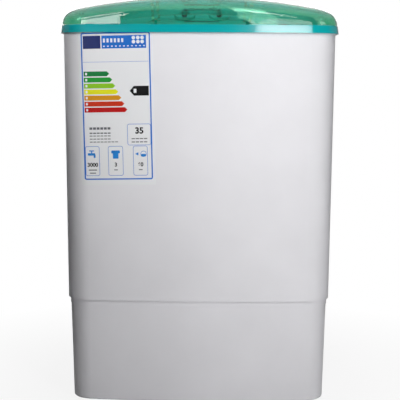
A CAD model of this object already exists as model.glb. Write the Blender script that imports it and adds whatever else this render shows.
"""Looks of a compact washing machine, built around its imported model.

Lengths are metres in the model's own frame: X to the right, Y to the back and Z up from the floor. A name
that ends in _mm holds the size of a pattern on the real piece in millimetres.
"""

import math

import bpy
from bpy.props import FloatProperty, FloatVectorProperty, PointerProperty
from bpy.types import Operator, Panel, PropertyGroup
from mathutils import Matrix, Vector


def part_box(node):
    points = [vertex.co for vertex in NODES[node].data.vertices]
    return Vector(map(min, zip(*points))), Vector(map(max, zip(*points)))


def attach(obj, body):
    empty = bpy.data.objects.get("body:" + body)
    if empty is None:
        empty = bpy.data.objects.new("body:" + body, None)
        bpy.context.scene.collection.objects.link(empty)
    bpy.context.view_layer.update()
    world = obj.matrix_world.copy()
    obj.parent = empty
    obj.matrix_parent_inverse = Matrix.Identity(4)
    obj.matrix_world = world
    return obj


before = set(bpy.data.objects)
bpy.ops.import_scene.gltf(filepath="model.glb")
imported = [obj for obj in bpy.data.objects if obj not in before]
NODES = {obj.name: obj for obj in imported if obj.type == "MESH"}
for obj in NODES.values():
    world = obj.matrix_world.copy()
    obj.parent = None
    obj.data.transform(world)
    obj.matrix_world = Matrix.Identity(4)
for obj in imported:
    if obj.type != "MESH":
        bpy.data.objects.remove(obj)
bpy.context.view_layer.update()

bl_info = {
    "name": "Washing Machine Looks",
    "version": (1, 0, 0),
    "blender": (4, 5, 0),
    "location": "View3D > Sidebar > Washer",
    "description": "Finishes, rating label, panel marks and studio of a compact washing machine",
    "category": "Object",
}

CASING_LOW, CASING_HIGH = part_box("upper_casing")

WHITE = (1.0, 1.0, 1.0, 1.0)
PLASTIC_IOR = 1.5
# nearly all values of a noise texture lie between these two
NOISE_LOW, NOISE_HIGH = 0.3, 0.7
# Y of the plane in front of the machine that the prints start from
PRINT_PLANE = -0.25
# strip width that leaves a print in one piece
UNCUT = 1.0
CORNER_SEGMENTS = 5
# height of a digit as a share of the font's size, and the boldness as a share of the digit's height
DIGIT_SHARE = 0.7
DIGIT_BOLDNESS = 0.05
# distance within which two places are the same
TOUCHING = 1e-6


def linear(code):
    """Linear colour of an sRGB hex code."""
    parts = [int(code[i:i + 2], 16) / 255 for i in (0, 2, 4)]
    return tuple(c / 12.92 if c <= 0.04045 else ((c + 0.055) / 1.055) ** 2.4 for c in parts)


def colour_property(name, description, code):
    """Colour setting with an sRGB default."""
    return FloatVectorProperty(name=name, description=description, default=linear(code), size=3,
                               subtype="COLOR", min=0, max=1)


def length_property(name, description, default):
    """Length setting in metres."""
    return FloatProperty(name=name, description=description, default=default, min=0, unit="LENGTH",
                         precision=5)


def place_property(name, description, default):
    """Place in metres, which may be negative."""
    return FloatProperty(name=name, description=description, default=default, unit="LENGTH")


def angle_property(name, description, degrees):
    """Angle setting with its default in degrees."""
    return FloatProperty(name=name, description=description, default=math.radians(degrees), subtype="ANGLE")


def plain_property(name, description, default):
    """Setting whose unit, if it has one, is in its description."""
    return FloatProperty(name=name, description=description, default=default)


class WasherColours(PropertyGroup):
    casing: colour_property("Casing", "White plastic of the casing and the base", "EDECF0")
    trim: colour_property("Trim", "Turquoise plastic of the top frame and the console", "08ABB0")
    lid: colour_property("Lid", "Tint that light takes on through one wall of the lid", "A2E6C7")
    knob: colour_property("Knob", "Navy plastic of the knob grips", "0C1A3C")
    tub: colour_property("Tub", "White plastic of the wash tub and the basket", "E6E8EA")
    label_blue: colour_property("Label blue", "Blue ink of the label's border", "1C6FD1")


class WasherLabel(PropertyGroup):
    width: length_property("Width", "Width of the paper", 0.1085)
    height: length_property("Height", "Height of the paper", 0.2231)
    left: length_property("Edge inset", "From the casing's left side to the paper's corner", 0.0269)
    drop: length_property("Drop", "From the casing's top down to the paper's upper left corner", 0.0026)
    lean: angle_property("Lean", "Turn of the label about its upper left corner", -1.2)
    margin: length_property("Margin", "From the paper's side to the border", 0.0040)
    top_margin: length_property("Top margin", "From the paper's top to the border", 0.0024)
    border_height: length_property("Border height", "Height of the border", 0.2128)
    line: length_property("Border line", "Width of the border line", 0.0019)
    paper: length_property("Paper", "Thickness of the paper", 0.00012)
    ink: length_property("Ink", "Thickness of one print layer", 0.00005)
    strip: length_property("Strip", "Width of the strips that let a print follow the casing", 0.004)


class WasherPanel(PropertyGroup):
    tick_width: length_property("Line width", "Width of the ticks and of the line", 0.0013)
    tick_height: length_property("Tick height", "Height of a tick as seen from the front", 0.0050)
    tick_pitch: length_property("Tick pitch", "From tick to tick", 0.0105)
    tick_z: length_property("Tick middle", "Height of the ticks above the floor", 0.6005)
    line_z: length_property("Line height", "Height of the line above the floor", 0.5842)
    line_half: length_property("Line reach", "Half the length of the line", 0.0300)
    dial_gap: length_property("Dial gap", "From a knob's skirt to the middle of its numbers", 0.0040)
    number_height: length_property("Number height", "Height of the dial numbers from the front", 0.0026)
    slope: plain_property("Slope", "Sine of the slope's angle to the floor", 0.57)
    ink: length_property("Ink", "Thickness of the print", 0.00005)


class WasherStudio(PropertyGroup):
    camera_x: place_property("Camera X", "Camera right of the middle", 0.022)
    camera_y: place_property("Camera Y", "Camera in front of the origin", -1.683)
    camera_z: place_property("Camera Z", "Camera height", 0.484)
    lens: plain_property("Lens", "Focal length in millimetres", 93.55)
    pitch: angle_property("Pitch", "Downward tilt of the camera", 6.57)
    yaw: angle_property("Yaw", "Turn of the camera to the left", 0.745)
    roll: angle_property("Roll", "Turn of the camera about its view", 0.25)
    strip_power: plain_property("Strip", "Power of the long strip light in watts", 2.35)
    top_power: plain_property("Top", "Power of the upper strip light in watts", 1.35)
    side_power: plain_property("Side", "Power of the softbox on the right in watts", 6)
    corner_power: plain_property("Corner", "Power of the small upper left softbox in watts", 0.07)
    overhead_power: plain_property("Overhead", "Power of the softbox above the lid in watts", 0.6)
    back_power: plain_property("Back", "Power of each softbox behind in watts", 13)
    card_power: plain_property("Card", "Power of the cards seen in gloss, in watts per square metre", 35)
    ambient: plain_property("Ambient", "Strength of the surrounding light", 0.02)
    wall: plain_property("Wall", "Strength of the white wall seen in clear plastic", 0.9)
    wall_side: plain_property("Wall side", "Strength of the walls beside it seen in clear plastic", 0.35)
    wall_shine: plain_property("Wall shine", "Strength of the white wall seen in gloss", 0.3)
    wall_edge: plain_property("Wall edge", "Sine of the angle at which the wall begins to fade", 0.1)
    wall_fade: plain_property("Wall fade", "Further sine over which the wall fades to its sides", 0.3)
    dark_sides: plain_property("Dark sides", "Strength of the dark sides seen in gloss", 0.03)
    floor_size: place_property("Floor", "Side of the floor", 12)


def add_node(tree, kind, inputs=None, **settings):
    """Add a node, set its properties, and give its inputs values or links."""
    node = tree.nodes.new(kind)
    for name, value in settings.items():
        setattr(node, name, value)
    for name, value in (inputs or {}).items():
        if isinstance(value, bpy.types.NodeSocket):
            tree.links.new(value, node.inputs[name])
        else:
            node.inputs[name].default_value = value
    return node


def new_material(name):
    """Material with an empty node tree, and that tree."""
    material = bpy.data.materials.new(name)
    material.use_nodes = True
    tree = material.node_tree
    tree.nodes.clear()
    return material, tree


def finish_material(material, tree, shader):
    """Link the last shader to the material's output."""
    output = add_node(tree, "ShaderNodeOutputMaterial")
    tree.links.new(shader, output.inputs["Surface"])
    return material


def rgba(colour):
    """Colour with full alpha."""
    return (*colour[:3], 1.0)


def shade(colour, factor):
    """Colour made lighter or darker."""
    return tuple(min(1.0, c * factor) for c in colour[:3])


def scale_for(feature_mm):
    """Texture scale, in features per metre, for features of a real size."""
    return 1000 / feature_mm


def moulded_plastic(name, colour, roughness, peel_mm, peel, coat=0.0):
    """Opaque moulded plastic: faint flow shading, orange peel and uneven gloss."""
    flow_mm, polish_mm = 90, 40
    darkest, lightest = 0.97, 1.02
    smoothest, roughest = 0.9, 1.12
    material, tree = new_material(name)
    place = add_node(tree, "ShaderNodeTexCoord").outputs["Object"]
    flow = add_node(tree, "ShaderNodeTexNoise", {"Vector": place, "Scale": scale_for(flow_mm), "Detail": 3})
    share = add_node(tree, "ShaderNodeMapRange",
                     {"Value": flow.outputs["Fac"], "From Min": NOISE_LOW, "From Max": NOISE_HIGH})
    tint = add_node(tree, "ShaderNodeMix",
                    {"Factor": share.outputs["Result"], "A": rgba(shade(colour, darkest)),
                     "B": rgba(shade(colour, lightest))}, data_type="RGBA")
    skin = add_node(tree, "ShaderNodeTexNoise", {"Vector": place, "Scale": scale_for(peel_mm), "Detail": 2})
    bump = add_node(tree, "ShaderNodeBump",
                    {"Height": skin.outputs["Fac"], "Strength": peel, "Distance": 0.001})
    polish = add_node(tree, "ShaderNodeTexNoise",
                      {"Vector": place, "Scale": scale_for(polish_mm), "Detail": 4})
    gloss = add_node(tree, "ShaderNodeMapRange",
                     {"Value": polish.outputs["Fac"], "From Min": NOISE_LOW, "From Max": NOISE_HIGH,
                      "To Min": roughness * smoothest, "To Max": roughness * roughest})
    shader = add_node(tree, "ShaderNodeBsdfPrincipled",
                      {"Base Color": tint.outputs["Result"], "Roughness": gloss.outputs["Result"],
                       "IOR": PLASTIC_IOR, "Normal": bump.outputs["Normal"], "Coat Weight": coat,
                       "Coat Roughness": 0.06})
    return finish_material(material, tree, shader.outputs["BSDF"])


def clear_plastic(name, colour):
    """Clear tinted plastic, moulded bright: very faint waves, and a tint that is thinner on the crown."""
    waves_mm = 60
    crown_start, crown_end = 0.35, 0.8
    crown_tint = tuple(c ** 0.3 for c in colour)
    material, tree = new_material(name)
    place = add_node(tree, "ShaderNodeTexCoord").outputs["Object"]
    waves = add_node(tree, "ShaderNodeTexNoise", {"Vector": place, "Scale": scale_for(waves_mm), "Detail": 1})
    bump = add_node(tree, "ShaderNodeBump",
                    {"Height": waves.outputs["Fac"], "Strength": 0.05, "Distance": 0.001})
    facing = add_node(tree, "ShaderNodeTexCoord").outputs["Normal"]
    upward = add_node(tree, "ShaderNodeSeparateXYZ", {"Vector": facing}).outputs["Z"]
    upward = add_node(tree, "ShaderNodeMath", {0: upward}, operation="ABSOLUTE").outputs["Value"]
    crown = add_node(tree, "ShaderNodeMapRange",
                     {"Value": upward, "From Min": crown_start, "From Max": crown_end})
    tint = add_node(tree, "ShaderNodeMix",
                    {"Factor": crown.outputs["Result"], "A": rgba(colour), "B": rgba(crown_tint)},
                    data_type="RGBA")
    shader = add_node(tree, "ShaderNodeBsdfPrincipled",
                      {"Base Color": tint.outputs["Result"], "Roughness": 0.035, "IOR": PLASTIC_IOR,
                       "Transmission Weight": 1.0, "Normal": bump.outputs["Normal"]})
    # to a shadow ray the wall is open and only tints the light, so that lamps reach what lies under it
    open_wall = add_node(tree, "ShaderNodeBsdfTransparent", {"Color": rgba(shade(colour, 0.92))})
    shadow = add_node(tree, "ShaderNodeLightPath").outputs["Is Shadow Ray"]
    mixed = add_node(tree, "ShaderNodeMixShader",
                     {"Fac": shadow, 1: shader.outputs["BSDF"], 2: open_wall.outputs["BSDF"]})
    return finish_material(material, tree, mixed.outputs["Shader"])


def bare_metal(name, colour, roughness, grain_mm, bump_height):
    """Bare metal with a worked surface: a grain of its own length along X, Y and Z, in gloss and height."""
    smoothest, roughest = 0.8, 1.25
    material, tree = new_material(name)
    place = add_node(tree, "ShaderNodeTexCoord").outputs["Object"]
    stretched = add_node(tree, "ShaderNodeMapping",
                         {"Vector": place, "Scale": tuple(scale_for(size) for size in grain_mm)})
    grain = add_node(tree, "ShaderNodeTexNoise",
                     {"Vector": stretched.outputs["Vector"], "Scale": 1.0, "Detail": 4})
    gloss = add_node(tree, "ShaderNodeMapRange",
                     {"Value": grain.outputs["Fac"], "From Min": NOISE_LOW, "From Max": NOISE_HIGH,
                      "To Min": roughness * smoothest, "To Max": roughness * roughest})
    bump = add_node(tree, "ShaderNodeBump",
                    {"Height": grain.outputs["Fac"], "Strength": bump_height, "Distance": 0.0005})
    shader = add_node(tree, "ShaderNodeBsdfPrincipled",
                      {"Base Color": rgba(colour), "Metallic": 1.0, "Roughness": gloss.outputs["Result"],
                       "Normal": bump.outputs["Normal"]})
    return finish_material(material, tree, shader.outputs["BSDF"])


def moulded_rubber(name, colour):
    """Black moulded rubber: dull, with a fine spark-eroded grain and chalky high spots."""
    grain_mm, chalk_mm = 1.5, 14
    chalk_start, chalk_end = 0.45, 0.75
    chalk_shade = 2.2
    material, tree = new_material(name)
    place = add_node(tree, "ShaderNodeTexCoord").outputs["Object"]
    grain = add_node(tree, "ShaderNodeTexNoise", {"Vector": place, "Scale": scale_for(grain_mm), "Detail": 3})
    bump = add_node(tree, "ShaderNodeBump",
                    {"Height": grain.outputs["Fac"], "Strength": 0.25, "Distance": 0.0004})
    chalk = add_node(tree, "ShaderNodeTexNoise", {"Vector": place, "Scale": scale_for(chalk_mm), "Detail": 4})
    dust = add_node(tree, "ShaderNodeMapRange",
                    {"Value": chalk.outputs["Fac"], "From Min": chalk_start, "From Max": chalk_end})
    tint = add_node(tree, "ShaderNodeMix",
                    {"Factor": dust.outputs["Result"], "A": rgba(colour),
                     "B": rgba(shade(colour, chalk_shade))}, data_type="RGBA")
    shader = add_node(tree, "ShaderNodeBsdfPrincipled",
                      {"Base Color": tint.outputs["Result"], "Roughness": 0.78,
                       "Normal": bump.outputs["Normal"]})
    return finish_material(material, tree, shader.outputs["BSDF"])


def net_fabric(name, colour, pitch_mm, thread_mm):
    """Woven polyester net: open squares between soft threads that let light through."""
    material, tree = new_material(name)
    place = add_node(tree, "ShaderNodeTexCoord").outputs["Object"]
    parts = add_node(tree, "ShaderNodeSeparateXYZ", {"Vector": place}).outputs
    threads = []
    for axis in ("X", "Z"):
        count = add_node(tree, "ShaderNodeMath", {0: parts[axis], 1: scale_for(pitch_mm)},
                         operation="MULTIPLY")
        part = add_node(tree, "ShaderNodeMath", {0: count.outputs["Value"]}, operation="FRACT")
        threads.append(add_node(tree, "ShaderNodeMath", {0: part.outputs["Value"], 1: thread_mm / pitch_mm},
                                operation="LESS_THAN").outputs["Value"])
    cover = add_node(tree, "ShaderNodeMath", {0: threads[0], 1: threads[1]}, operation="MAXIMUM")
    hole = add_node(tree, "ShaderNodeBsdfTransparent")
    shader = add_node(tree, "ShaderNodeBsdfPrincipled",
                      {"Base Color": rgba(colour), "Roughness": 0.6, "Transmission Weight": 0.15})
    mixed = add_node(tree, "ShaderNodeMixShader",
                     {"Fac": cover.outputs["Value"], 1: hole.outputs["BSDF"], 2: shader.outputs["BSDF"]})
    return finish_material(material, tree, mixed.outputs["Shader"])


def printing_ink(name, colour):
    """Offset ink on coated paper: a flat colour with a little paper tooth in its gloss."""
    tooth_mm = 1.2
    darkest, lightest = 0.96, 1.04
    roughness, smoothest, roughest = 0.38, 0.9, 1.1
    material, tree = new_material(name)
    place = add_node(tree, "ShaderNodeTexCoord").outputs["Object"]
    tooth = add_node(tree, "ShaderNodeTexNoise", {"Vector": place, "Scale": scale_for(tooth_mm), "Detail": 3})
    tint = add_node(tree, "ShaderNodeMix",
                    {"Factor": tooth.outputs["Fac"], "A": rgba(shade(colour, darkest)),
                     "B": rgba(shade(colour, lightest))}, data_type="RGBA")
    gloss = add_node(tree, "ShaderNodeMapRange",
                     {"Value": tooth.outputs["Fac"], "From Min": NOISE_LOW, "From Max": NOISE_HIGH,
                      "To Min": roughness * smoothest, "To Max": roughness * roughest})
    shader = add_node(tree, "ShaderNodeBsdfPrincipled",
                      {"Base Color": tint.outputs["Result"], "Specular IOR Level": 0.15,
                       "Roughness": gloss.outputs["Result"]})
    return finish_material(material, tree, shader.outputs["BSDF"])


def coated_paper(name, colour):
    """Gloss-coated sticker paper: neutral white with soft creases."""
    crease_mm = 45
    material, tree = new_material(name)
    place = add_node(tree, "ShaderNodeTexCoord").outputs["Object"]
    creases = add_node(tree, "ShaderNodeTexNoise",
                       {"Vector": place, "Scale": scale_for(crease_mm), "Detail": 2, "Roughness": 0.4})
    bump = add_node(tree, "ShaderNodeBump",
                    {"Height": creases.outputs["Fac"], "Strength": 0.25, "Distance": 0.002})
    shader = add_node(tree, "ShaderNodeBsdfPrincipled",
                      {"Base Color": rgba(colour), "Roughness": 0.4, "Specular IOR Level": 0.3,
                       "Normal": bump.outputs["Normal"]})
    return finish_material(material, tree, shader.outputs["BSDF"])


def give(material, *names):
    """Set the one material of CAD nodes."""
    for name in names:
        for slot in NODES[name].material_slots:
            slot.material = material


def deselect():
    """Leave edit mode and deselect everything."""
    if bpy.context.object and bpy.context.object.mode != "OBJECT":
        bpy.ops.object.mode_set(mode="OBJECT")
    bpy.ops.object.select_all(action="DESELECT")


def choose(piece):
    """Select one piece alone and make it the active one."""
    deselect()
    piece.select_set(True)
    bpy.context.view_layer.objects.active = piece


def settle(piece):
    """Put a piece's place into its mesh."""
    choose(piece)
    bpy.ops.object.transform_apply(location=True, rotation=True, scale=True)


def cut_strips(width, middle, strip):
    """Cut the mesh being edited into upright strips of equal width, so that it can follow a curved wall."""
    cuts = int(width / strip)
    for i in range(1, cuts + 1):
        x = middle - width / 2 + i * width / (cuts + 1)
        bpy.ops.mesh.select_all(action="SELECT")
        bpy.ops.mesh.bisect(plane_co=(x, 0, 0), plane_no=(1, 0, 0))


def plate(width, height, centre, corner=0.0, strip=UNCUT):
    """Flat plate facing the front, with rounded corners, cut into upright strips."""
    deselect()
    bpy.ops.mesh.primitive_plane_add(size=1, location=(centre[0], 0, centre[1]), rotation=(math.pi / 2, 0, 0))
    piece = bpy.context.object
    piece.scale = (width, height, 1)
    settle(piece)
    bpy.ops.object.mode_set(mode="EDIT")
    bpy.ops.mesh.select_all(action="SELECT")
    if corner > 0:
        bpy.ops.mesh.bevel(offset=corner, segments=CORNER_SEGMENTS, affect="VERTICES")
        bpy.ops.mesh.select_all(action="SELECT")
    cut_strips(width, centre[0], strip)
    bpy.ops.object.mode_set(mode="OBJECT")
    return piece


def ring(width, height, centre, line, corner, strip):
    """Rounded rectangular line, cut into upright strips."""
    piece = plate(width, height, centre, corner)
    bpy.ops.object.mode_set(mode="EDIT")
    bpy.ops.mesh.select_all(action="SELECT")
    bpy.ops.mesh.inset(thickness=line, depth=0)
    bpy.ops.mesh.delete(type="FACE")
    cut_strips(width, centre[0], strip)
    bpy.ops.object.mode_set(mode="OBJECT")
    return piece


def arrow(length, height, left, centre_z, tip, strip):
    """Bar that runs out to a point at its right end, or at its left where the length is negative."""
    way = 1 if length > 0 else -1
    straight = abs(length) - tip
    piece = plate(straight, height, (left + way * straight / 2, centre_z), strip=strip)
    end = left + way * straight
    bpy.ops.object.mode_set(mode="EDIT")
    bpy.ops.mesh.select_mode(type="EDGE")
    bpy.ops.mesh.select_all(action="DESELECT")
    bpy.ops.object.mode_set(mode="OBJECT")
    for edge in piece.data.edges:
        ends = [piece.data.vertices[i].co.x for i in edge.vertices]
        edge.select = all(abs(x - end) < TOUCHING for x in ends)
    bpy.ops.object.mode_set(mode="EDIT")
    bpy.ops.mesh.extrude_region_move(TRANSFORM_OT_translate={"value": (way * tip, 0, 0)})
    bpy.ops.mesh.merge(type="CENTER")
    bpy.ops.mesh.select_mode(type="VERT")
    bpy.ops.object.mode_set(mode="OBJECT")
    return piece


def number(text, height, centre):
    """Plain number as a flat mesh facing the front."""
    deselect()
    bpy.ops.object.text_add(location=(0, 0, 0))
    curve = bpy.context.object.data
    curve.body = text
    curve.size = height / DIGIT_SHARE
    curve.align_x = "CENTER"
    curve.align_y = "CENTER"
    curve.offset = DIGIT_BOLDNESS * height
    bpy.ops.object.convert(target="MESH")
    piece = bpy.context.object
    piece.rotation_euler = (math.pi / 2, 0, 0)
    piece.location = (centre[0], 0, centre[1])
    settle(piece)
    return piece


def joined(pieces, name):
    """One named object made of one or more flat pieces."""
    choose(pieces[0])
    for piece in pieces:
        piece.select_set(True)
    if len(pieces) > 1:
        bpy.ops.object.join()
    piece = pieces[0]
    piece.name = name
    piece.data.name = name
    return piece


def lay_print(piece, target, origin, lean, lift, thickness, material):
    """Turn a flat print about its corner, lay it on a front face, thicken it and let it ride the cabinet."""
    settle(piece)
    piece.data.transform(Matrix.Translation(origin) @ Matrix.Rotation(lean, 4, "Y"))
    wrap = piece.modifiers.new("lay on the front", "SHRINKWRAP")
    wrap.target = target
    wrap.wrap_method = "PROJECT"
    wrap.use_project_y = True
    wrap.use_positive_direction = True
    wrap.use_negative_direction = False
    wrap.offset = lift
    wall = piece.modifiers.new("thickness", "SOLIDIFY")
    wall.thickness = thickness
    wall.offset = 1
    choose(piece)
    for name in (wrap.name, wall.name):
        bpy.ops.object.modifier_apply(modifier=name)
    piece.data.materials.clear()
    piece.data.materials.append(material)
    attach(piece, "cabinet")


class WASHER_OT_cabinet(Operator):
    """Give the casing, base, top frame and console their moulded plastics"""
    bl_idname = "washer.cabinet"
    bl_label = "Cabinet finishes"

    def execute(self, context):
        colours = context.scene.washer_colours
        # high-impact polystyrene, injection moulded and polished: soft wide gloss on a faint orange peel
        casing = moulded_plastic("HIPS_white_moulded", colours.casing, roughness=0.42, peel_mm=6, peel=0.02)
        give(casing, "upper_casing", "base", "back_cover")
        # ABS, injection moulded in a polished tool: clear bright reflections
        trim = moulded_plastic("ABS_turquoise_gloss", colours.trim, roughness=0.1, peel_mm=9, peel=0.012,
                               coat=0.3)
        give(trim, "top_frame", "control_console", "timer_knob_skirt", "drain_knob_skirt")
        return {"FINISHED"}


class WASHER_OT_lid(Operator):
    """Give the lid its clear tinted plastic"""
    bl_idname = "washer.lid"
    bl_label = "Clear lid"

    def execute(self, context):
        # styrene acrylonitrile, injection moulded in a polished tool: clear as glass, deep green at its edges
        give(clear_plastic("SAN_clear_tinted", context.scene.washer_colours.lid), "lid")
        return {"FINISHED"}


class WASHER_OT_inside(Operator):
    """Give the tub, basket, pulsator and filter their finishes"""
    bl_idname = "washer.inside"
    bl_label = "Inside finishes"

    def execute(self, context):
        colours = context.scene.washer_colours
        # polypropylene, injection moulded: waxy and half dull
        tub = moulded_plastic("PP_white_moulded", colours.tub, roughness=0.45, peel_mm=4, peel=0.03)
        give(tub, "wash_tub", "drain_grille", "spin_basket", "pulsator_cap")
        # polypropylene coloured through: waxy, with a soft half gloss
        trim = moulded_plastic("PP_turquoise_moulded", colours.trim, roughness=0.35, peel_mm=4, peel=0.03)
        give(trim, "pulsator", "balance_ring", "lint_filter_frame")
        # woven polyester: dull white threads with daylight between them. The real net has a thread every
        # 0.3 mm, too fine to show, so it is drawn with one every millimetre
        give(net_fabric("PES_net", colours.tub, pitch_mm=1.0, thread_mm=0.4), "lint_filter_net")
        return {"FINISHED"}


class WASHER_OT_works(Operator):
    """Give the drive, drain and fixings their metals, rubbers and plain plastics"""
    bl_idname = "washer.works"
    bl_label = "Works finishes"

    def execute(self, context):
        # turned and ground steel: fine rings, cool grey
        steel = bare_metal("steel_turned", linear("A8A9AB"), roughness=0.3, grain_mm=(20, 20, 0.6),
                           bump_height=0.06)
        give(steel, "drive_shaft", "motor_shaft", "motor_rotor", "timer_spindle", "lid_hinge_pins",
             "housing_bolts", "motor_bolts", "bracket_screws", "pulley_nut", "motor_stator")
        # zinc-plated steel sheet: warm silver with cloudy patches
        zinc = bare_metal("steel_zinc_plated", linear("B9B7AE"), roughness=0.36, grain_mm=(12, 12, 12),
                          bump_height=0.03)
        give(zinc, "motor_bracket", "back_cover_screws")
        # die-cast aluminium: matt, sandy skin
        cast = bare_metal("aluminium_die_cast", linear("A6A8AA"), roughness=0.5, grain_mm=(1.6, 1.6, 1.6),
                          bump_height=0.25)
        give(cast, "bearing_housing", "motor_end_bells", "motor_pulley", "run_capacitor")
        # sintered bronze: dull yellow-brown
        bronze = bare_metal("bronze_sintered", linear("9A7A45"), roughness=0.5, grain_mm=(0.8, 0.8, 0.8),
                            bump_height=0.2)
        give(bronze, "upper_bush", "lower_bush")
        # nitrile and natural rubber, moulded: dull black
        rubber = moulded_rubber("rubber_moulded", linear("17171A"))
        give(rubber, "feet", "lid_buffers", "shaft_seal", "drive_belt", "motor_grommets", "tub_hose",
             "valve_plunger")
        # polyamide, moulded: grey with a fine grain
        grey = moulded_plastic("PA_grey_moulded", linear("5C6166"), roughness=0.55, peel_mm=2, peel=0.08)
        give(grey, "drive_pulley", "drain_valve", "cord_gland", "wash_timer", "drain_switch",
             "drain_spindle", "pull_strap")
        # ABS from a spark-eroded tool: deep navy, silk gloss
        navy = moulded_plastic("ABS_navy_silk", context.scene.washer_colours.knob, roughness=0.34, peel_mm=2,
                               peel=0.05)
        give(navy, "timer_knob_grip", "drain_knob_grip")
        return {"FINISHED"}


class WASHER_OT_label(Operator):
    """Lay the plain rating label on the front of the casing"""
    bl_idname = "washer.label"
    bl_label = "Rating label"

    # places are from the border's upper left corner, to the right and down: a block or a row of blocks lies
    # by its left edge and its middle's drop
    paper_corner = 0.0010
    paper_gap = 0.00003
    border_corner = 0.0030
    fine_line = 0.0006

    # header: a dark and a light block, six dots, and two rows of small blocks
    header_drop, header_height = 0.0138, 0.0185
    dark_left, dark_width = 0.0031, 0.0257
    light_left, light_width = 0.0303, 0.0645
    dot_columns, dot_rows = (0.0767, 0.0831, 0.0892), (0.0082, 0.0140)
    dot_size, dot_corner = 0.0052, 0.0025
    # count, left edge, pitch, width, drop, height and corner
    header_rows = ((6, 0.0325, 0.0053, 0.0030, 0.0116, 0.0056, 0.0004),
                   (11, 0.0325, 0.0058, 0.0026, 0.0198, 0.0015, 0.0003))
    rule_inset, rule_drop, rule_height = 0.0030, 0.0421, 0.0004

    # bars that grow from the first to the last, each with a small block on it, and the pointer beside them
    bar_codes = ("0B7D3B", "1E9E34", "8FCB22", "ECEC1C", "DF9716", "CF3414", "C01010")
    bar_left, bar_height, bar_tip = 0.0030, 0.0070, 0.0036
    bar_first, bar_pitch = 0.0591, 0.00866
    bar_short, bar_grow = 0.0373, 0.0042
    bar_block_left, bar_block_width, bar_block_height, bar_block_corner = 0.0052, 0.0028, 0.0034, 0.0004
    pointer_right, pointer_length, pointer_drop = 0.0972, 0.0278, 0.0842
    pointer_height, pointer_tip = 0.0140, 0.0062
    pointer_block_left, pointer_block_width = 0.0752, 0.0040
    pointer_block_height, pointer_block_corner = 0.0058, 0.0006

    # left edge, width, drop and height of the framed boxes
    boxes = ((0.0020, 0.0210, 0.1854, 0.0433), (0.0356, 0.0219, 0.1854, 0.0433),
             (0.0722, 0.0212, 0.1854, 0.0433), (0.0645, 0.0343, 0.1473, 0.0310))
    # text, height, middle and its drop
    numbers = (("35", 0.0087, 0.0820, 0.1420), ("3000", 0.0055, 0.0125, 0.1911),
               ("3", 0.0055, 0.0466, 0.1911), ("60", 0.0055, 0.0828, 0.1911))
    # count, left edge, pitch, width, drop and height
    note_rows = ((6, 0.0092, 0.0053, 0.0042, 0.1379, 0.0034), (6, 0.0092, 0.0053, 0.0042, 0.1448, 0.0018),
                 (6, 0.0092, 0.0053, 0.0042, 0.1488, 0.0012), (6, 0.0092, 0.0053, 0.0042, 0.1533, 0.0012),
                 (8, 0.0092, 0.0053, 0.0042, 0.1576, 0.0012), (4, 0.0705, 0.0060, 0.0048, 0.1533, 0.0014),
                 (4, 0.0705, 0.0060, 0.0048, 0.1581, 0.0014), (1, 0.0065, 0.0, 0.0120, 0.1985, 0.0014),
                 (1, 0.0080, 0.0, 0.0090, 0.2030, 0.0014), (1, 0.0440, 0.0, 0.0052, 0.1985, 0.0014),
                 (1, 0.0802, 0.0, 0.0052, 0.1985, 0.0014))

    # pictures: the middle of each, and its blocks' left edge and drop from there, width, height and corner
    picture_drop = 0.1755
    tap_middle, shirt_middle, drum_middle = 0.0114, 0.0466, 0.0874
    tap_blocks = ((-0.0036, -0.0050, 0.0072, 0.0015, 0.0004), (-0.0008, -0.0030, 0.0016, 0.0036, 0.0),
                  (-0.0057, 0.0, 0.0108, 0.0036, 0.0010), (0.0028, 0.0026, 0.0029, 0.0054, 0.0010))
    shirt_blocks = ((-0.0041, 0.0006, 0.0082, 0.0120, 0.0008), (-0.0063, -0.0032, 0.0040, 0.0044, 0.0012),
                    (0.0023, -0.0032, 0.0040, 0.0044, 0.0012))
    drum_blocks = ((-0.0039, 0.0021, 0.0078, 0.0038, 0.0017),)
    drum_size, drum_line, drum_corner = 0.0088, 0.0007, 0.0043
    horn_right, horn_length, horn_height, horn_tip = 0.0800, 0.0048, 0.0040, 0.0036

    def execute(self, context):
        self.size = context.scene.washer_label
        size = self.size
        colours = context.scene.washer_colours
        # coated sticker paper: neutral white, softly creased
        sheet = plate(size.width, size.height, (size.width / 2, -size.height / 2), self.paper_corner,
                      size.strip)
        self.lay([sheet], "label_sheet", coated_paper("paper_coated", linear("EFF0F2")), 0)
        # offset inks: flat colours, duller than the paper
        self.lay(self.frames(), "label_lines", printing_ink("ink_blue", colours.label_blue), 1)
        dark = self.block(self.dark_left, self.dark_width, self.header_drop, self.header_height)
        self.lay([dark], "label_block", printing_ink("ink_deep_blue", linear("1B2A6B")), 1)
        for i, code in enumerate(self.bar_codes):
            length = self.bar_short + i * self.bar_grow
            bar = self.pointed(self.bar_left, length, self.bar_drop(i), self.bar_height, self.bar_tip)
            self.lay([bar], f"label_bar_{i + 1}", printing_ink(f"ink_bar_{i + 1}", linear(code)), 1)
        self.lay(self.light_marks(), "label_light_marks", printing_ink("ink_white", linear("EDEFF2")), 2)
        self.lay(self.pictures(), "label_pictures", printing_ink("ink_light_blue", linear("2A86D8")), 1)
        marks = [self.pointed(self.pointer_right, -self.pointer_length, self.pointer_drop,
                              self.pointer_height, self.pointer_tip)]
        marks += [number(text, height, self.spot(x, drop)) for text, height, x, drop in self.numbers]
        self.lay(marks, "label_marks", printing_ink("ink_black", linear("101012")), 1)
        notes = [block for row in self.note_rows for block in self.row(*row)]
        self.lay(notes, "label_notes", printing_ink("ink_grey", linear("6A6C72")), 1)
        return {"FINISHED"}

    def spot(self, x, drop):
        """Place on the flat paper of a place from the border's corner."""
        return (self.size.margin + x, -self.size.top_margin - drop)

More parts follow.
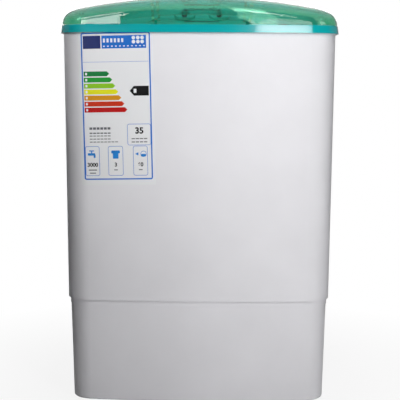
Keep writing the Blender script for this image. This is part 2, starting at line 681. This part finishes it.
    def bar_drop(self, i):
        """Drop of a bar's middle."""
        return self.bar_first + i * self.bar_pitch

    def block(self, left, width, drop, height, corner=0.0):
        """Printed block."""
        return plate(width, height, self.spot(left + width / 2, drop), corner, self.size.strip)

    def row(self, count, left, pitch, width, drop, height, corner=0.0):
        """Printed blocks side by side."""
        return [self.block(left + i * pitch, width, drop, height, corner) for i in range(count)]

    def box(self, left, width, drop, height, line, corner):
        """Printed frame."""
        return ring(width, height, self.spot(left + width / 2, drop), line, corner, self.size.strip)

    def pointed(self, left, length, drop, height, tip):
        """Printed bar with a point, to the left where its length is negative."""
        x, z = self.spot(left, drop)
        return arrow(length, height, x, z, tip, self.size.strip)

    def lay(self, pieces, name, material, layer):
        """Join flat pieces and lay them on the casing: layer 0 is the paper, 1 and 2 are prints on it."""
        size = self.size
        origin = Vector((CASING_LOW.x + size.left, PRINT_PLANE, CASING_HIGH.z - size.drop))
        lift, thickness = self.paper_gap, size.paper
        if layer > 0:
            lift += size.paper + (layer - 1) * size.ink
            thickness = size.ink
        lay_print(joined(pieces, name), NODES["upper_casing"], origin, size.lean, lift, thickness, material)

    def frames(self):
        """Border, boxes, rule and the header's light block."""
        size = self.size
        wide = size.width - 2 * size.margin
        high = size.border_height
        frames = [self.box(0, wide, high / 2, high, size.line, self.border_corner)]
        frames += [self.box(*box, self.fine_line, self.border_corner) for box in self.boxes]
        frames.append(self.block(self.rule_inset, wide - 2 * self.rule_inset, self.rule_drop,
                                 self.rule_height))
        frames.append(self.block(self.light_left, self.light_width, self.header_drop, self.header_height))
        return frames

    def light_marks(self):
        """White marks on the header, the bars and the pointer."""
        size = self.dot_size
        marks = [self.block(x - size / 2, size, drop, size, self.dot_corner)
                 for x in self.dot_columns for drop in self.dot_rows]
        marks += [block for row in self.header_rows for block in self.row(*row)]
        marks += [self.block(self.bar_block_left, self.bar_block_width, self.bar_drop(i),
                             self.bar_block_height, self.bar_block_corner)
                  for i in range(len(self.bar_codes))]
        marks.append(self.block(self.pointer_block_left, self.pointer_block_width, self.pointer_drop,
                                self.pointer_block_height, self.pointer_block_corner))
        return marks

    def pictures(self):
        """Plain pictures of a tap, a shirt, and a drum with a horn, in the three lower boxes."""
        drop = self.picture_drop
        places = ((self.tap_middle, self.tap_blocks), (self.shirt_middle, self.shirt_blocks),
                  (self.drum_middle, self.drum_blocks))
        marks = [self.block(middle + left, width, drop + lower, height, corner)
                 for middle, blocks in places for left, lower, width, height, corner in blocks]
        size = self.drum_size
        marks.append(self.box(self.drum_middle - size / 2, size, drop, size, self.drum_line,
                              self.drum_corner))
        marks.append(self.pointed(self.horn_right, -self.horn_length, drop, self.horn_height, self.horn_tip))
        return marks


class WASHER_OT_panel_marks(Operator):
    """Print the ticks, the line and the dial marks on the console's slope"""
    bl_idname = "washer.panel_marks"
    bl_label = "Panel marks"

    # what stands round each knob, clockwise; an empty text is a short dash
    dials = {"timer_knob_skirt": ("0", "5", "10", "15"), "drain_knob_skirt": ("1", "", "", "2")}
    first_turn, turn_step = math.radians(-75), math.radians(50)
    dash_width, dash_height = 0.0014, 0.0010
    print_gap = 0.0002

    def execute(self, context):
        panel = context.scene.washer_panel
        marks = [plate(panel.tick_width, panel.tick_height, (i * panel.tick_pitch, panel.tick_z))
                 for i in (-1, 0, 1)]
        marks.append(plate(2 * panel.line_half, panel.tick_width, (0, panel.line_z)))
        for node, texts in self.dials.items():
            marks += self.dial(panel, node, texts)
        # screen-printed ink: flat navy
        navy = printing_ink("ink_navy", context.scene.washer_colours.knob)
        lay_print(joined(marks, "panel_marks"), NODES["control_console"], Vector((0, PRINT_PLANE, 0)), 0.0,
                  self.print_gap, panel.ink, navy)
        return {"FINISHED"}

    def dial(self, panel, node, texts):
        """Numbers and dashes round a knob, flattened as the slope shows them from the front."""
        low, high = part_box(node)
        middle_x, middle_z = (low.x + high.x) / 2, (low.z + high.z) / 2
        reach = (high.x - low.x) / 2 + panel.dial_gap
        marks = []
        for i, text in enumerate(texts):
            turn = self.first_turn + i * self.turn_step
            centre = (middle_x + reach * math.sin(turn), middle_z + reach * math.cos(turn) * panel.slope)
            if text:
                marks.append(number(text, panel.number_height, centre))
            else:
                marks.append(plate(self.dash_width, self.dash_height, centre))
        return marks


def softbox(name, place, aim, size, power, spread=180, unseen_by=()):
    """Rectangular area light that faces a point; some kinds of ray may not see it."""
    data = bpy.data.lights.new(name, "AREA")
    data.shape = "RECTANGLE"
    data.size, data.size_y = size
    data.energy = power
    data.spread = math.radians(spread)
    lamp = bpy.data.objects.new(name, data)
    bpy.context.scene.collection.objects.link(lamp)
    lamp.location = place
    lamp.rotation_euler = (Vector(aim) - Vector(place)).to_track_quat("-Z", "Y").to_euler()
    for kind in unseen_by:
        setattr(lamp, f"visible_{kind}", False)


class WASHER_OT_studio(Operator):
    """Set the pale floor, the softboxes, the surrounding light and the camera"""
    bl_idname = "washer.studio"
    bl_label = "Studio"

    # setting that holds the power, place, point faced, width and height, spread in degrees, and what kinds
    # of ray don't see the light
    lamps = {"strip_light": ("strip_power", (0.152, -0.72, 0.52), (0.152, 0, 0.52), (0.11, 0.86), 180,
                             ("glossy",)),
             "top_strip_light": ("top_power", (0.152, -0.72, 0.88), (0.152, 0, 0.5), (0.11, 0.3), 180,
                                 ("glossy",)),
             "side_softbox": ("side_power", (1.9, -1.3, 0.6), (0, 0, 0.35), (0.8, 0.8), 180, ()),
             "corner_softbox": ("corner_power", (-0.55, -0.45, 0.8), (-0.19, -0.15, 0.52), (0.15, 0.15), 50,
                                ("glossy",)),
             "back_softbox": ("back_power", (0.7, 2.2, 1.4), (0, 0, 0.35), (1.2, 1.2), 180,
                              ("transmission",)),
             "back_left_softbox": ("back_power", (-0.6, 2.4, 1.2), (0, 0, 0.35), (1.2, 1.2), 180,
                                   ("transmission",)),
             "overhead_softbox": ("overhead_power", (0, 0.02, 1.35), (0, 0.1, 0.6), (0.6, 0.3), 60,
                                  ("glossy", "transmission"))}
    # centre, width, height and share of the power of the cards that only gloss sees
    cards = {"left_low_card": ((-0.86, -1.68, 0.81), 0.88, 0.38, 0.9),
             "left_high_card": ((-0.95, -1.68, 1.40), 0.86, 0.36, 0.7),
             "right_low_card": ((0.40, -1.68, 0.618), 0.34, 0.076, 0.45),
             "right_high_card": ((0.405, -1.68, 1.07), 0.26, 0.10, 1.1)}
    # the floor glows less within the first distance from the origin and fully past the second
    glow_near, glow_far = 0.25, 0.6
    near_glow = 0.88
    # half the span of the way's Y over which gloss turns from the wall to the dark sides
    turning = 0.1
    sensor_mm = 36

    def execute(self, context):
        scene = context.scene
        studio = scene.washer_studio
        self.add_floor(studio)
        self.light_world(scene, studio)
        for name, (setting, place, aim, size, spread, unseen_by) in self.lamps.items():
            softbox(name, place, aim, size, getattr(studio, setting), spread, unseen_by)
        for name, (centre, width, height, share) in self.cards.items():
            power = studio.card_power * share * width * height
            softbox(name, centre, (centre[0], 0, centre[2]), (width, height), power,
                    unseen_by=("diffuse", "transmission"))
        self.add_camera(scene, studio)
        scene.view_settings.view_transform = "Standard"
        return {"FINISHED"}

    def add_camera(self, scene, studio):
        """Camera in front of the machine, slightly above its middle."""
        data = bpy.data.cameras.new("camera")
        data.lens = studio.lens
        data.sensor_width = self.sensor_mm
        camera = bpy.data.objects.new("camera", data)
        scene.collection.objects.link(camera)
        camera.matrix_world = (Matrix.Translation((studio.camera_x, studio.camera_y, studio.camera_z))
                               @ Matrix.Rotation(studio.yaw, 4, "Z")
                               @ Matrix.Rotation(math.pi / 2 - studio.pitch, 4, "X")
                               @ Matrix.Rotation(studio.roll, 4, "Z"))
        scene.camera = camera

    def add_floor(self, studio):
        """Pale floor that keeps the object's shadow and reads as white to the camera and through the lid."""
        fibre_mm = 3
        deselect()
        bpy.ops.mesh.primitive_plane_add(size=studio.floor_size, location=(0, 0, 0))
        floor = bpy.context.object
        floor.name = "floor"
        # matt studio paper: no gloss, and bright where the camera sees it
        material, tree = new_material("studio_paper_white")
        place = add_node(tree, "ShaderNodeTexCoord").outputs["Object"]
        fibre = add_node(tree, "ShaderNodeTexNoise",
                         {"Vector": place, "Scale": scale_for(fibre_mm), "Detail": 3})
        bump = add_node(tree, "ShaderNodeBump",
                        {"Height": fibre.outputs["Fac"], "Strength": 0.05, "Distance": 0.001})
        diffuse = add_node(tree, "ShaderNodeBsdfDiffuse",
                           {"Color": rgba(linear("DCDCDC")), "Normal": bump.outputs["Normal"]})
        glow = add_node(tree, "ShaderNodeEmission", {"Color": WHITE, "Strength": 1.0})
        away = add_node(tree, "ShaderNodeVectorMath", {0: place}, operation="LENGTH").outputs["Value"]
        rays = add_node(tree, "ShaderNodeLightPath").outputs
        seen = add_node(tree, "ShaderNodeMath", {0: rays["Is Camera Ray"], 1: rays["Is Transmission Ray"]},
                        operation="MAXIMUM")
        clearing = add_node(tree, "ShaderNodeMapRange",
                            {"Value": away, "From Min": self.glow_near, "From Max": self.glow_far,
                             "To Min": self.near_glow, "To Max": 1.0})
        share = add_node(tree, "ShaderNodeMath", {0: seen.outputs["Value"], 1: clearing.outputs["Result"]},
                         operation="MULTIPLY")
        mixed = add_node(tree, "ShaderNodeMixShader",
                         {"Fac": share.outputs["Value"], 1: diffuse.outputs["BSDF"],
                          2: glow.outputs["Emission"]})
        floor.data.materials.append(finish_material(material, tree, mixed.outputs["Shader"]))

    def light_world(self, scene, studio):
        """Even dim light, with a white background for the camera, gloss and clear plastic."""
        world = bpy.data.worlds.new("studio")
        scene.world = world
        world.use_nodes = True
        tree = world.node_tree
        tree.nodes.clear()
        rays = add_node(tree, "ShaderNodeLightPath").outputs
        way = add_node(tree, "ShaderNodeNewGeometry").outputs["Incoming"]
        way = add_node(tree, "ShaderNodeSeparateXYZ", {"Vector": way}).outputs
        across = add_node(tree, "ShaderNodeMath", {0: way["X"]}, operation="ABSOLUTE").outputs["Value"]
        wall = add_node(tree, "ShaderNodeMapRange",
                        {"Value": across, "From Min": studio.wall_edge,
                         "From Max": studio.wall_edge + studio.wall_fade,
                         "To Min": studio.wall, "To Max": studio.wall_side})
        shine = add_node(tree, "ShaderNodeMapRange",
                         {"Value": way["Y"], "From Min": -self.turning, "From Max": self.turning,
                          "To Min": studio.wall_shine, "To Max": studio.dark_sides})
        light = studio.ambient
        for kind, seen in (("Is Glossy Ray", shine.outputs["Result"]),
                           ("Is Transmission Ray", wall.outputs["Result"]), ("Is Camera Ray", 1.0)):
            light = add_node(tree, "ShaderNodeMix", {"Factor": rays[kind], "A": light, "B": seen},
                             data_type="FLOAT").outputs["Result"]
        background = add_node(tree, "ShaderNodeBackground", {"Color": WHITE, "Strength": light})
        output = add_node(tree, "ShaderNodeOutputWorld")
        tree.links.new(background.outputs["Background"], output.inputs["Surface"])


OPERATORS = (WASHER_OT_studio, WASHER_OT_cabinet, WASHER_OT_lid, WASHER_OT_inside, WASHER_OT_works,
             WASHER_OT_label, WASHER_OT_panel_marks)
GROUPS = {"washer_colours": WasherColours, "washer_label": WasherLabel, "washer_panel": WasherPanel,
          "washer_studio": WasherStudio}


class WASHER_PT_panel(Panel):
    """Sidebar panel with the machine's settings and pieces"""
    bl_idname = "WASHER_PT_panel"
    bl_label = "Washing machine"
    bl_space_type = "VIEW_3D"
    bl_region_type = "UI"
    bl_category = "Washer"

    def draw(self, context):
        for group in (getattr(context.scene, name) for name in GROUPS):
            for name in group.__annotations__:
                self.layout.prop(group, name)
        for operator in OPERATORS:
            self.layout.operator(operator.bl_idname)


CLASSES = (*GROUPS.values(), *OPERATORS, WASHER_PT_panel)


def register():
    for cls in CLASSES:
        bpy.utils.register_class(cls)
    for name, group in GROUPS.items():
        setattr(bpy.types.Scene, name, PointerProperty(type=group))


def unregister():
    for name in GROUPS:
        delattr(bpy.types.Scene, name)
    for cls in reversed(CLASSES):
        bpy.utils.unregister_class(cls)


def main():
    register()
    bpy.ops.washer.studio()
    bpy.ops.washer.cabinet()
    bpy.ops.washer.lid()
    bpy.ops.washer.inside()
    bpy.ops.washer.works()
    bpy.ops.washer.label()
    bpy.ops.washer.panel_marks()


if __name__ == "__main__":
    main()
